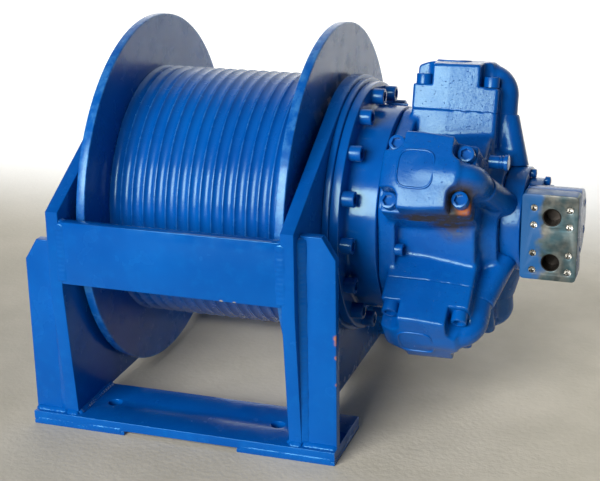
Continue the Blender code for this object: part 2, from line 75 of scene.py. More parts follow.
# Welded frame
PLATE_LEAN = 0.022
PLATE_BORES = {"left": 0.0603, "right": 0.0906}
ANCHOR_RADIUS = 0.011
ANCHOR_SHIFTS = {"right": 0.135, "left": -0.135}

# Screws: head radius, head height and width across the socket's flats
M16 = (0.0120, 0.0155, 0.014)
TALL_M16 = (0.0120, 0.0185, 0.014)
M14 = (0.0105, 0.0138, 0.012)
M12 = (0.0090, 0.0118, 0.010)
M8 = (0.0065, 0.0078, 0.006)
FLUSH = (0.0062, 0.0008, 0.006)
SIDE_PLUG = (0.0050, 0.0007, 0.0055)
FLANGE_SCREWS = 16
FLANGE_SCREW_CIRCLE = 0.1785
RING_SHIFT = 0.0028
FLANGE_SCREW_OFFSET = -2.2

# Cylinder heads and the crankcase under them
HALF_X, HALF_T = 0.065, 0.0575
BEND_X, NARROWING = -0.010, 0.0933
PARTING = 0.157
SEAT = 0.1945
CROWN = 0.2330
NOTCH_RADIUS = 0.0152
DRUM_SIDE_SCREW = (-0.051, 0.043)
PORT_SIDE_SCREW = (0.051, 0.0335)
DUCT_RADIUS = 0.020
ELBOW_CENTRE = (0.0395, 0.184)
ELBOW_RADIUS = 0.028
BADGE_CENTRE_X = -0.013
BADGE_HALF = (0.026, 0.028)
BARREL_RADIUS, BARREL_GROWTH = 0.130, 0.05
VALLEY_SCREW_OFFSET = -4.5
CHAMBER_RADIUS, CHAMBER_HALF = 0.090, 0.029
CYLINDER_BORE = 0.0353
MAIN_BORE = 0.0523
HEAD_STEP = 0.00135
CASE_STEP = 0.0021

# Port block: half the ports' spacing, and the threads' offsets round each port
PORT_OFFSET = 0.035
TAP_OFFSETS = (0.0262, 0.0131)
FACE_DEPTH = 0.0295

# Enamel, in linear colour
BLUE = (0.0005, 0.091, 0.390, 1.0)
DEEP_BLUE = (0.0004, 0.069, 0.325, 1.0)
PALE_BLUE = (0.0016, 0.120, 0.440, 1.0)
PRIMER = (0.42, 0.15, 0.06, 1.0)
# dark brown patches, set low on the front head and on the crankcase under it
DARK_BROWN = (0.060, 0.042, 0.030, 1.0)
RUST = (0.34, 0.085, 0.022, 1.0)
BARE = (0.42, 0.33, 0.16, 1.0)
SHEEN = (0.58, 0.88, 0.84, 1.0)
FLAT_SHEEN = (0.25, 0.70, 0.95, 1.0)


def span(node):
    """Where a CAD node starts and ends along the drum's axis."""
    low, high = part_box(node)
    return low.x, high.x


def reach(node):
    """Radius of a CAD node that is round about the drum's axis."""
    low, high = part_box(node)
    return (high.z - low.z) / 2


# ---- materials


def feed(tree, socket, value):
    """Links a socket to another one, or sets it."""
    if isinstance(value, bpy.types.NodeSocket):
        tree.links.new(value, socket)
    else:
        socket.default_value = value


def new_node(tree, kind, settings=None, **inputs):
    made = tree.nodes.new("ShaderNode" + kind)
    for key, value in (settings or {}).items():
        setattr(made, key, value)
    for key, value in inputs.items():
        feed(tree, made.inputs[key.replace("_", " ")], value)
    return made


def fed(tree, made, *values):
    """Feeds a node's first inputs in their order, and gives its first output."""
    for socket, value in zip(made.inputs, values):
        feed(tree, socket, value)
    return made.outputs[0]


def coordinates(tree, space="Object"):
    return new_node(tree, "TexCoord").outputs[space]


def axes(tree, space="Object"):
    """Sockets of the coordinates along X, Y and Z."""
    return new_node(tree, "SeparateXYZ", Vector=coordinates(tree, space)).outputs


def stretched(tree, scale):
    """Object coordinates, stretched by a scale for each axis."""
    mapping = new_node(tree, "Mapping", Vector=coordinates(tree), Scale=scale)
    return mapping.outputs["Vector"]


def fog(tree, scale, detail=2.0, vector=None, roughness=0.5):
    """Noise from 0 to 1; scale counts its features in a metre."""
    vector = vector or stretched(tree, (1.0, 1.0, 1.0))
    made = new_node(tree, "TexNoise", Vector=vector, Scale=scale, Detail=detail, Roughness=roughness)
    return made.outputs["Fac"]


def ramp(tree, value, low, high, out_low=0.0, out_high=1.0):
    made = new_node(tree, "MapRange", {"interpolation_type": "SMOOTHSTEP"}, Value=value,
                    From_Min=low, From_Max=high, To_Min=out_low, To_Max=out_high)
    return made.outputs["Result"]


def maths(tree, operation, first, second):
    return fed(tree, new_node(tree, "Math", {"operation": operation}), first, second)


def inverse(tree, value):
    return maths(tree, "SUBTRACT", 1.0, value)


def blend(tree, factor, first, second):
    made = new_node(tree, "Mix", {"data_type": "RGBA"})
    for index, value in ((0, factor), (6, first), (7, second)):
        feed(tree, made.inputs[index], value)
    return made.outputs[2]


def bumped(tree, height, depth, under=None):
    made = new_node(tree, "Bump", Height=height, Distance=depth)
    if under is not None:
        tree.links.new(under, made.inputs["Normal"])
    return made.outputs["Normal"]


def start_material(name):
    material = bpy.data.materials.new(name)
    material.use_nodes = True
    return material, material.node_tree


def finished(material, colour, roughness, normal, sheen=(1.0, 1.0, 1.0, 1.0), metallic=0.0):
    """Sets a material's surface and gives the material back."""
    tree = material.node_tree
    values = {"Base Color": colour, "Roughness": roughness, "Normal": normal,
              "Specular Tint": sheen, "Metallic": metallic}
    for name, value in values.items():
        feed(tree, tree.nodes["Principled BSDF"].inputs[name], value)
    return material


def near(tree, centre, radius):
    """1 within a ball round a point of the object, falling to 0 at its edge."""
    away = new_node(tree, "VectorMath", {"operation": "DISTANCE"})
    fed(tree, away, coordinates(tree), centre)
    return ramp(tree, away.outputs["Value"], radius * 0.35, radius, 1.0, 0.0)


def enamel(name, rough=0.22, peel=0.00006, cast=0.0, strokes=None, chips=0.0, colour_spots=(), sheen=SHEEN):
    """Blue enamel: drifting tone, orange peel, and as asked a casting's pits with painted shade in them, brush
    strokes, chips down to primer and coloured spots given as (centre, radius, colour)."""
    material, tree = start_material(name)
    tone = blend(tree, ramp(tree, fog(tree, 7.0, 4.0), 0.30, 0.72), DEEP_BLUE, BLUE)
    freckles = ramp(tree, fog(tree, 70.0, 5.0), 0.48, 0.80, 0.0, 0.35)
    colour = blend(tree, freckles, tone, PALE_BLUE)
    roughness = ramp(tree, fog(tree, 23.0, 5.0), 0.25, 0.80, rough - 0.07, rough + 0.12)
    normal = bumped(tree, fog(tree, 260.0, 2.0), peel)
    normal = bumped(tree, fog(tree, 28.0, 3.0), peel * 8.0, normal)
    if strokes:
        brushed = fog(tree, 1.0, 3.0, stretched(tree, strokes), 0.6)
        normal = bumped(tree, brushed, 0.00012, normal)
    if cast:
        lumps = fog(tree, 190.0, 5.0, roughness=0.65)
        pits_with_painted_shade = ramp(tree, fog(tree, 330.0, 1.0), 0.70, 0.78, 1.0, 0.0)
        normal = bumped(tree, lumps, 0.00035 * cast, normal)
        normal = bumped(tree, pits_with_painted_shade, 0.0006 * cast, normal)
        # painted shade: the pits are darkened towards deep blue
        colour = blend(tree, inverse(tree, pits_with_painted_shade), colour, DEEP_BLUE)
    if chips:
        broken = fog(tree, 42.0, 8.0, roughness=0.72)
        bare = ramp(tree, broken, 0.745 - 0.02 * chips, 0.765 - 0.02 * chips)
        colour = blend(tree, bare, colour, PRIMER)
        normal = bumped(tree, inverse(tree, bare), 0.00015, normal)
    for centre, radius, tint in colour_spots:
        cloud = ramp(tree, fog(tree, 85.0, 6.0, roughness=0.7), 0.28, 0.52)
        spot = maths(tree, "MULTIPLY", near(tree, centre, radius), cloud)
        colour = blend(tree, spot, colour, tint)
        roughness = maths(tree, "MAXIMUM", roughness, maths(tree, "MULTIPLY", spot, 0.75))
    return finished(material, colour, roughness, normal, sheen)


def wear_and_highlight_enamel(name):
    """The drum's enamel, lighter where the piece's wear_and_highlight attribute says so: worn paint together with
    a painted highlight.
    """
    material, tree = start_material(name)
    tone = blend(tree, ramp(tree, fog(tree, 8.0, 4.0), 0.30, 0.72), DEEP_BLUE, BLUE)
    wear_and_highlight = new_node(tree, "Attribute", {"attribute_name": "wear_and_highlight"}).outputs["Fac"]
    patchy = ramp(tree, fog(tree, 60.0, 7.0, roughness=0.7), 0.40, 0.66)
    scuff_and_highlight = maths(tree, "MULTIPLY", wear_and_highlight, patchy)
    # lighter blue on crests and rims: worn paint and a painted highlight
    colour = blend(tree, scuff_and_highlight, tone, (0.040, 0.20, 0.50, 1.0))
    roughness = ramp(tree, fog(tree, 30.0, 5.0), 0.25, 0.80, 0.19, 0.32)
    turning = fog(tree, 1.0, 3.0, stretched(tree, (420.0, 12.0, 12.0)), 0.6)
    normal = bumped(tree, turning, 0.00007)
    normal = bumped(tree, fog(tree, 25.0, 3.0), 0.0005, normal)
    return finished(material, colour, roughness, normal, SHEEN)


def metal(name, colour, dark, rough, lines=(900.0, 30.0, 30.0)):
    """Bare machined metal with tool marks and a light film of oil."""
    material, tree = start_material(name)
    film = ramp(tree, fog(tree, 20.0, 6.0), 0.35, 0.70)
    tint = blend(tree, film, dark, colour)
    marks = fog(tree, 1.0, 3.0, stretched(tree, lines), 0.6)
    roughness = ramp(tree, marks, 0.30, 0.70, rough - 0.06, rough + 0.10)
    return finished(material, tint, roughness, bumped(tree, marks, 0.00003), metallic=1.0)


def lining(name, colour, rough):
    """A dull unpainted surface, such as a rubber seal."""
    material, tree = start_material(name)
    grain = fog(tree, 420.0, 4.0)
    lighter = tuple(min(1.0, 2.2 * part + 0.01) for part in colour[:3]) + (1.0,)
    tint = blend(tree, ramp(tree, grain, 0.45, 0.75), colour, lighter)
    roughness = ramp(tree, grain, 0.3, 0.7, rough - 0.1, rough + 0.1)
    return finished(material, tint, roughness, bumped(tree, grain, 0.0001))


def zinc_face(name, low, high):
    """Zinc-grey machined face of a block, with blue overspray on its side to the motor."""
    material, tree = start_material(name)
    parts = axes(tree)
    drift = ramp(tree, fog(tree, 38.0, 5.0), 0.25, 0.75, -0.011, 0.011)
    edge = maths(tree, "ADD", parts["X"], drift)
    paint = ramp(tree, edge, low.x + 0.020, low.x + 0.035, 1.0, 0.0)
    rim_x = ramp(tree, parts["X"], high.x - 0.0012, high.x - 0.0004)
    rim_top = ramp(tree, parts["Z"], high.z - 0.0012, high.z - 0.0004)
    depth = ramp(tree, parts["Y"], low.y + 0.0008, low.y + 0.0022)
    depth = maths(tree, "MULTIPLY", depth, maths(tree, "MAXIMUM", rim_x, rim_top))
    patches = ramp(tree, fog(tree, 55.0, 7.0), 0.38, 0.66)
    patina = blend(tree, patches, (0.075, 0.090, 0.090, 1), (0.22, 0.215, 0.19, 1))
    haze = blend(tree, ramp(tree, fog(tree, 22.0, 3.0), 0.40, 0.68, 0.0, 0.55), patina, (0.05, 0.17, 0.22, 1))
    paint = maths(tree, "MAXIMUM", paint, depth)
    colour = blend(tree, paint, haze, (0.003, 0.090, 0.275, 1.0))
    bare = maths(tree, "MULTIPLY", inverse(tree, paint), 0.85)
    scratches = fog(tree, 1.0, 4.0, stretched(tree, (60.0, 60.0, 900.0)), 0.6)
    roughness = ramp(tree, scratches, 0.3, 0.7, 0.28, 0.50)
    return finished(material, colour, roughness, bumped(tree, scratches, 0.00003), metallic=bare)


def concrete(name):
    """Pale floor, whiter further off, with painted shade darkening it to the left and in front."""
    material, tree = start_material(name)
    parts = axes(tree)
    clouds = blend(tree, ramp(tree, fog(tree, 5.0, 8.0, roughness=0.6), 0.3, 0.7),
                   (0.57, 0.53, 0.435, 1), (0.68, 0.63, 0.525, 1))
    # painted shade: the floor darkens to the left and in front of the winch
    floor_painted_shade = ramp(tree, parts["X"], -0.9, 0.4, 0.50, 0.0)
    floor_painted_shade = maths(tree, "MAXIMUM", floor_painted_shade, ramp(tree, parts["Y"], -1.0, -0.42, 0.85, 0.0))
    clouds = blend(tree, floor_painted_shade, clouds, (0.19, 0.18, 0.16, 1))
    sheet = ramp(tree, parts["Y"], 0.45, 1.25)
    left_edge = ramp(tree, parts["X"], -3.2, -2.4, 1.0, 0.0)
    beside = maths(tree, "MAXIMUM", ramp(tree, parts["X"], 1.0, 1.6), left_edge)
    sheet = maths(tree, "SUBTRACT", sheet, maths(tree, "MULTIPLY", sheet, beside))
    colour = blend(tree, sheet, clouds, (0.93, 0.93, 0.92, 1))
    # seen from behind, the backdrop lets the winch show through
    one_sided = fed(tree, new_node(tree, "MixShader"), new_node(tree, "NewGeometry").outputs["Backfacing"],
                    new_node(tree, "BsdfTransparent").outputs[0], tree.nodes["Principled BSDF"].outputs[0])
    tree.links.new(one_sided, tree.nodes["Material Output"].inputs["Surface"])
    return finished(material, colour, 0.75, bumped(tree, fog(tree, 120.0, 6.0), 0.0008))


# ---- shape helpers


def shaded(mesh, angle=35.0):
    mesh.shade_smooth()
    mesh.set_sharp_from_angle(angle=math.radians(angle))
    return mesh


def new_object(name, data):
    made = bpy.data.objects.new(name, data)
    bpy.context.scene.collection.objects.link(made)
    return made


def add_piece(name, mesh, material, body="frame", stands_for=()):
    """Puts a mesh in the scene as a piece of the object."""
    obj = new_object(name, mesh)
    mesh.materials.clear()
    mesh.materials.append(material)
    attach(obj, body)
    if stands_for:
        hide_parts(*stands_for)


def from_bmesh(name, bm, angle=35.0):
    mesh = bpy.data.meshes.new(name)
    bmesh.ops.recalc_face_normals(bm, faces=bm.faces)
    bm.to_mesh(mesh)
    bm.free()
    return shaded(mesh, angle)


def joined(name, meshes, angle=35.0):
    """One mesh that holds the others."""
    bm = bmesh.new()
    for mesh in meshes:
        bm.from_mesh(mesh)
        bpy.data.meshes.remove(mesh)
    return from_bmesh(name, bm, angle)


def full_turn(count):
    return [2 * math.pi * i / count for i in range(count)]


def softened(points, radius, steps=3):
    """A closed outline with each corner rounded, as far as its sides allow."""
    result = []
    for before, corner, after in zip(points[-1:] + points[:-1], points, points[1:] + points[:1]):
        corner = Vector(corner)
        arms = [Vector(before) - corner, Vector(after) - corner]
        turn = arms[0].angle(arms[1])
        cut = min(radius / math.tan(turn / 2), 0.45 * arms[0].length, 0.45 * arms[1].length)
        ends = [corner + arm.normalized() * cut for arm in arms]
        for i in range(steps + 1):
            share = i / steps
            near_start, near_end = ends[0].lerp(corner, share), corner.lerp(ends[1], share)
            result.append(tuple(near_start.lerp(near_end, share)))
    return result


def sleeve(start, end, bore, rim):
    """A plain ring's profile."""
    return [(start, bore), (start, rim), (end, rim), (end, bore)]


def eased(profile, radius):
    """A profile that starts and ends on the axis, with its other corners rounded."""
    return profile[:1] + softened(profile, radius)[4:-4] + profile[-1:]


def bridge(bm, rings, count):
    """Faces between each ring of points and the next; a ring may be a single point."""
    for one, two in zip(rings, rings[1:]):
        for i in range(count if len(one) + len(two) > 2 else 0):
            j = (i + 1) % count
            corners = [one[i % len(one)], one[j % len(one)], two[j % len(two)], two[i % len(two)]]
            bm.faces.new(list(dict.fromkeys(corners)))


def turned(name, profile, segments=160, angle=35.0):
    """A closed profile of (x, radius) turned about the drum's axis."""
    bm = bmesh.new()
    rings = []
    for x, r in profile:
        turns = full_turn(segments if r > 1e-6 else 1)
        rings.append([bm.verts.new((x, r * math.cos(a), AXIS_Z + r * math.sin(a))) for a in turns])
    bridge(bm, rings + rings[:1], segments)
    return from_bmesh(name, bm, angle)


def turned_piece(name, node, profile, paint, segments=160):
    add_piece(name, turned(node, profile, segments), paint, stands_for=(node,))


def flat_plate(name, loops, thickness, place, edge=0.0012):
    """Outlines filled and made thick about local Z = 0, with all edges eased."""
    curve = bpy.data.curves.new(name, "CURVE")
    curve.dimensions = "2D"
    curve.fill_mode = "BOTH"
    curve.extrude = thickness / 2 - edge
    curve.bevel_depth = edge
    curve.bevel_resolution = 2
    curve.offset = -edge
    for loop in loops:
        spline = curve.splines.new("POLY")
        spline.points.add(len(loop) - 1)
        for point, (x, y) in zip(spline.points, loop):
            point.co = (x, y, 0.0, 1.0)
        spline.use_cyclic_u = True
    mesh = evaluated_mesh(new_object(name + "_guide", curve))
    mesh.transform(place)
    bm = bmesh.new()
    bm.from_mesh(mesh)
    bmesh.ops.remove_doubles(bm, verts=bm.verts, dist=0.00001)
    return from_bmesh(name, bm)


def upright(y):
    """Stands a flat outline of (x, z) up at a depth y."""
    return Matrix.Translation((0.0, y, 0.0)) @ Matrix.Rotation(math.pi / 2, 4, "X")


def evaluated_mesh(guide):
    """The guide's shape with its modifiers, as a mesh; the guide goes."""
    bpy.context.view_layer.update()
    graph = bpy.context.evaluated_depsgraph_get()
    mesh = bpy.data.meshes.new_from_object(guide.evaluated_get(graph))
    bpy.data.objects.remove(guide, do_unlink=True)
    return mesh


def round_loop(radius, centre=(0.0, 0.0), segments=48):
    return [(centre[0] + radius * math.cos(a), centre[1] + radius * math.sin(a)) for a in full_turn(segments)]


def soft_block(name, low, high, edge=0.0015, steps=2):
    """A box between two corners with rounded edges."""
    bm = bmesh.new()
    bmesh.ops.create_cube(bm, size=1.0)
    size = Vector(high) - Vector(low)
    place = Matrix.Translation((Vector(low) + Vector(high)) / 2) @ Matrix.Diagonal((*size, 1.0))
    bmesh.ops.transform(bm, verts=bm.verts, matrix=place)
    bmesh.ops.bevel(bm, geom=bm.edges[:], offset=edge, segments=steps, affect="EDGES", profile=0.5)
    return from_bmesh(name, bm)


def facing(point, direction):
    """A place whose local Z looks along direction."""
    turn = Vector(direction).to_track_quat("Z", "Y")
    return Matrix.Translation(Vector(point)) @ turn.to_matrix().to_4x4()


def cap_screw(size, spin=0.0):
    """A socket head screw standing on local Z = 0: eased rim, hexagon socket."""
    radius, height, flats = size
    rim, segments = min(0.0012, height / 2), 24
    socket = min(0.55 * radius, height * 0.8)
    sixth = math.pi / 3
    circle = [(turn + spin, 1.0) for turn in full_turn(segments)]
    hexagon = [(turn + spin, flats / 2 / math.cos((turn + sixth / 2) % sixth - sixth / 2))
               for turn in full_turn(segments)]
    eased_z = height - rim * 0.3
    levels = [(circle, radius, 0.0), (circle, radius, height - rim), (circle, radius - rim * 0.3, eased_z),
              (circle, radius - rim, height), (hexagon, 1.04, height), (hexagon, 1.0, eased_z),
              (hexagon, 1.0, height - socket)]
    bm = bmesh.new()
    rings = []
    for shape, scale, z in levels:
        rings.append([bm.verts.new((r * scale * math.cos(a), r * scale * math.sin(a), z)) for a, r in shape])
    bridge(bm, rings, segments)
    bm.faces.new(rings[0])
    bm.faces.new(rings[-1])
    return from_bmesh("cap_screw", bm)


def cap_screws(name, seats, size):
    """One piece holding a screw on each seat, given as (point, direction)."""
    chance = random.Random(name)
    meshes = []
    for point, direction in seats:
        mesh = cap_screw(size, chance.uniform(0.0, math.pi / 3))
        mesh.transform(facing(point, direction))
        meshes.append(mesh)
    add_piece(name, joined(name, meshes), screw_paint)


def around(x, radius, angle):
    """A point at an angle above the front, round the drum's axis."""
    return Vector((x, -radius * math.cos(angle), AXIS_Z + radius * math.sin(angle)))


def screw_ring(name, x, radius, degrees, size, direction=ALONG_X):
    seats = [(around(x, radius, math.radians(angle)), direction) for angle in degrees]
    cap_screws(name, seats, size)


def weld_bead(start, end, legs, seed, end_legs=None):
    """A painted-over weld from start to end, two points of the corner that it fills. Its
    skin spans two legs, which lie on the two plates; end_legs are the legs at the end."""
    pitch, sides = 0.0018, 8
    start, end = Vector(start), Vector(end)
    count = max(2, round((end - start).length / pitch))
    bm = bmesh.new()
    rings = []
    for i in range(count + 1):
        share = i / count
        point = start.lerp(end, share)
        one, two = (Vector(a).lerp(Vector(b), share) for a, b in zip(legs, end_legs or legs))
        out = (one + two).normalized()
        wander = noise.noise(point * 60.0 + Vector((seed, 0.0, 0.0)))
        swell = 0.0006 * abs(math.sin(i * math.pi / 4.0)) + 0.0009 * wander
        scale = min(1.0, 0.5 + 0.25 * i, 0.5 + 0.25 * (count - i)) * (1.0 + 0.10 * wander)
        ring = [bm.verts.new(point - out * 0.001)]
        for k in range(sides + 1):
            turn = k / sides
            bulge = 4.0 * turn * (1.0 - turn)
            dip = -0.0006 if k in (0, sides) else 0.0
            place = point + (one * (1.0 - turn) + two * turn) * scale + out * (swell * bulge + dip)
            ring.append(bm.verts.new(place))
        rings.append(ring)
    bridge(bm, rings, sides + 2)
    bm.faces.new(rings[0])
    bm.faces.new(rings[-1])
    return from_bmesh("weld_bead", bm, 60.0)


def weld_beads(name, runs):
    meshes = [weld_bead(*run[:3], i * 1.7, *run[3:]) for i, run in enumerate(runs)]
    add_piece(name, joined(name, meshes, 60.0), weld_paint)


# ---- cast shapes as distance fields


def smooth_least(a, b, blend_width):
    """The smaller of two distances, with the crease between them filled in."""
    share = np.clip(0.5 + 0.5 * (b - a) / blend_width, 0.0, 1.0)
    return b + (a - b) * share - blend_width * share * (1.0 - share)


def smooth_most(a, b, blend_width):
    return -smooth_least(-a, -b, blend_width)


def rod(start, end, radius, x, t, n):
    """Distance to a round-ended rod between two points (x, n) on t = 0."""
    axis = np.subtract(end, start)
    share = np.clip(((x - start[0]) * axis[0] + (n - start[1]) * axis[1]) / (axis @ axis), 0.0, 1.0)
    gap_x, gap_n = x - start[0] - share * axis[0], n - start[1] - share * axis[1]
    return np.sqrt(gap_x**2 + gap_n**2 + t**2) - radius


def skin(name, field, low, high, step):
    """A mesh of squares round a distance field's zero level, sampled on a grid that clears
    the shape by two steps: one point in each cell that the surface crosses, at the mean of
    its crossings of the cell's edges."""
    ticks = [np.arange(a - 2 * step, b + 3 * step, step) for a, b in zip(low, high)]
    values, origin = field(*np.meshgrid(*ticks, indexing="ij")), np.array([t[0] for t in ticks])
    shape = np.array(values.shape) - 1
    total, count = np.zeros((*shape, 3)), np.zeros(shape)
    crossings = []
    for axis in range(3):
        others = [k for k in range(3) if k != axis]
        last = values.shape[axis] - 1
        a, b = values.take(range(last), axis), values.take(range(1, last + 1), axis)
        crossed = (a < 0) != (b < 0)
        share = np.where(crossed, a / np.where(crossed, a - b, 1.0), 0.0)
        crossings.append((crossed, a < 0))
        for shift in ((0, 0), (0, 1), (1, 0), (1, 1)):
            window = [slice(None)] * 3
            for k, s in zip(others, shift):
                window[k] = slice(s, s + shape[k])
            here = crossed[tuple(window)]
            count += here
            total[..., axis] += share[tuple(window)] * here
            for k, s in zip(others, shift):
                total[..., k] += s * here
    cells = count > 0
    index = np.full(shape, -1)
    index[cells] = np.arange(cells.sum())
    corner = np.argwhere(cells)
    points = (corner + total[cells] / count[cells][:, None]) * step + origin
    faces = []
    for axis, (crossed, inside) in enumerate(crossings):
        u, v = (axis + 1) % 3, (axis + 2) % 3
        window = [slice(None)] * 3
        window[u], window[v] = slice(1, -1), slice(1, -1)
        window[axis] = slice(0, shape[axis])
        places = np.argwhere(crossed[tuple(window)])
        outward = inside[tuple(window)][tuple(places.T)]
        ring = []
        for du, dv in ((0, 0), (1, 0), (1, 1), (0, 1)):
            cell = places.copy()
            cell[:, u] += du
            cell[:, v] += dv
            ring.append(index[tuple(cell.T)])
        quads = np.stack(ring, axis=1)
        quads[~outward] = quads[~outward][:, ::-1]
        faces.append(quads)
    mesh = bpy.data.meshes.new(name)
    mesh.from_pydata(points.tolist(), [], np.concatenate(faces).tolist())
    return shaded(mesh, 40.0)


def plan_field(x, t, radius):
    """Distance to the outline that heads and pads share; it narrows towards the ports."""
    gap_x = np.abs(x) - (HALF_X - radius)
    gap_t = np.abs(t) + NARROWING * np.maximum(x - BEND_X, 0.0) - (HALF_T - radius)
    outside = np.hypot(np.maximum(gap_x, 0.0), np.maximum(gap_t, 0.0))
    return outside + np.minimum(np.maximum(gap_x, gap_t), 0.0) - radius


def crown_height(x, t):
    """Height of a head's crowned outer face; it falls away towards the drum."""
    return CROWN - 0.0075 * (t / HALF_T) ** 2 - 0.009 * np.clip((-x - 0.030) / 0.035, 0.0, 1.0) ** 2


def corner_notch(x, t, x_wall, t_wall, side):
    """Distance to a corner pocket for a screw: two walls and a round inner corner."""
    u = NOTCH_RADIUS - side * (x - x_wall)
    v = NOTCH_RADIUS - (np.abs(t) - t_wall)
    return np.hypot(np.maximum(u, 0.0), np.maximum(v, 0.0)) - NOTCH_RADIUS + np.minimum(np.maximum(u, v), 0.0)


def head_field(x, t, n):
    """A cylinder head, as distance: crowned block, four screw pockets, elbow duct."""
    block = smooth_most(plan_field(x, t, 0.0045), n - crown_height(x, t), 0.0045)
    for side, (screw_x, screw_t) in ((-1, DRUM_SIDE_SCREW), (1, PORT_SIDE_SCREW)):
        x_wall, t_wall = screw_x - side * NOTCH_RADIUS, screw_t - NOTCH_RADIUS
        if side > 0:
            pocket = smooth_most(x_wall + 0.012 - x, SEAT - n, 0.002)
            block = smooth_most(block, -pocket, 0.006)
        pocket = smooth_most(corner_notch(x, t, x_wall, t_wall, side), SEAT - n, 0.002)
        block = smooth_most(block, -pocket, 0.003)
    centre_x, centre_n = ELBOW_CENTRE
    bend = np.abs(np.hypot(x - centre_x, n - centre_n) - ELBOW_RADIUS)
    above = n - centre_n - ELBOW_RADIUS
    run_in = np.where(x < 0.0, np.hypot(above, x), np.abs(above))
    run_out = np.abs(x - centre_x - ELBOW_RADIUS)
    path = np.where(x > centre_x, np.where(n > centre_n, bend, run_out), run_in)
    duct = np.hypot(path, t) - DUCT_RADIUS
    head = smooth_least(block, duct, 0.010)
    bore = np.maximum(np.hypot(x, t) - CYLINDER_BORE, n - 0.200)
    return np.maximum(np.maximum(head, PARTING - 0.0008 - n), -bore)


def case_field(x, y, z):
    """The crankcase, as distance: flange, drum-shaped body, five pads with their ducts."""
    radius = np.hypot(y, z)
    turn = np.arctan2(z, -y) - FIRST_ANGLE
    within = (turn + STEP_ANGLE / 2) % STEP_ANGLE - STEP_ANGLE / 2
    n, t = radius * np.cos(within), np.abs(radius * np.sin(within))
    across_valley = n * math.cos(STEP_ANGLE / 2) + t * math.sin(STEP_ANGLE / 2)
    start, end = CASE_START - MOTOR.x, CASE_END - MOTOR.x
    flange_end = FLANGE_END - MOTOR.x
    flange = smooth_most(radius - FLANGE_RADIUS, across_valley - 0.148, 0.003)
    slab = np.abs(x - (start + flange_end) / 2) - (flange_end - start) / 2
    flange = smooth_most(flange, slab, 0.003)
    shoulder = 0.062
    drum = smooth_most(radius - BARREL_RADIUS - BARREL_GROWTH * x, x - shoulder, 0.006)
    cone = np.maximum(radius - (0.106 - 0.35 * np.maximum(x - shoulder, 0.0)), x - end)
    body = smooth_least(drum, cone, 0.004)
    body = np.maximum(body, start - x)
    pad = np.maximum(plan_field(x, t, 0.0045), 0.04 - n)
    pad = np.maximum(pad, n - PARTING)
    duct = rod((0.0645, 0.175), (0.0962, 0.060), DUCT_RADIUS, x, t, n)
    duct = np.maximum(duct, n - PARTING)
    case = smooth_least(body, flange, 0.005)
    case = smooth_least(case, pad, 0.006)
    case = smooth_least(case, duct, 0.009)
    cover_room = np.maximum(radius - COVER_RADIUS - 0.0006, end - 0.0004 - x)
    main_bore = radius - MAIN_BORE
    chamber = np.maximum(radius - CHAMBER_RADIUS, np.abs(x) - CHAMBER_HALF)
    bore = np.maximum(np.hypot(x, t) - CYLINDER_BORE, 0.04 - n)
    for hollow in (cover_room, main_bore, chamber, bore):
        case = np.maximum(case, -hollow)
    return case


CASE_START, CASE_END = span("crankcase")[0] - RING_SHIFT, span("rear_cover")[0] - 0.0003
FLANGE_END = span("crankcase")[0] + 0.0227
FLANGE_RADIUS = reach("brake_housing") * 0.157 / 0.195
COVER_RADIUS = reach("rear_cover")

# ---- finishes

beam_low, beam_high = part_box("cross_beam_front")
rib_low, rib_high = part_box("gusset_front_right")
beam_spots = ((-0.090, 0.0045), (-0.070, 0.0040))
rib_spots = ((0.196, 0.007), (0.188, 0.006), (0.166, 0.005), (0.124, 0.004))
worn_spots = [((beam_high.x + x, beam_low.y, beam_low.z - 0.001), size, BARE) for x, size in beam_spots]
worn_spots += [((rib_high.x + 0.001, rib_low.y, z), size, PRIMER) for z, size in rib_spots]
plate_paint = enamel("plate_enamel", 0.20, 0.00005, strokes=(14.0, 14.0, 90.0), chips=1.0,
                     colour_spots=worn_spots, sheen=FLAT_SHEEN)
weld_paint = enamel("weld_enamel", 0.20, 0.00010, sheen=FLAT_SHEEN)
turned_paint = enamel("turned_enamel", 0.16, 0.00004, strokes=(600.0, 14.0, 14.0))
drum_paint = wear_and_highlight_enamel("drum_enamel")
screw_paint = enamel("screw_enamel", 0.20, 0.00004)
cast_paint = enamel("cast_enamel", 0.19, 0.00008, cast=1.0)
thread_steel = metal("thread_steel", (0.85, 0.84, 0.80, 1), (0.45, 0.44, 0.40, 1), 0.22)
# very dark steel for the port bores: steel darkened as painted shade down the bores
bore_steel_and_painted_shade = metal("bore_steel_and_painted_shade", (0.10, 0.09, 0.08, 1), (0.02, 0.018, 0.016, 1), 0.40)


# ---- welded frame


def frame_plate(node, mesh):
    add_piece(node + "_plate", mesh, plate_paint, stands_for=(node,))


def side_plate(side):
    node = "side_plate_" + side
    low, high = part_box(node)
    half = (high.y - low.y) / 2
    shoulder, knee = 0.054, -0.068
    foot, foot_half = low.z - AXIS_Z, half - PLATE_LEAN
    top_radius = high.z - AXIS_Z
    touch = math.atan2(shoulder, half) + math.acos(top_radius / math.hypot(half, shoulder))
    steps = 40
    angles = [touch + (math.pi - 2 * touch) * i / steps for i in range(steps + 1)]
    arc = [(top_radius * math.cos(a), top_radius * math.sin(a)) for a in angles]
    front = [(foot_half, foot), (half, knee), (half, shoulder)]
    edge = front + arc + [(-y, z) for y, z in front[::-1]]
    middle = ((low.x + high.x) / 2, 0.0, AXIS_Z)
    place = Matrix.Translation(middle) @ Matrix(((0, 0, 1, 0), (1, 0, 0, 0), (0, 1, 0, 0), (0, 0, 0, 1)))
    frame_plate(node, flat_plate(node, [edge, round_loop(PLATE_BORES[side])], high.x - low.x, place))


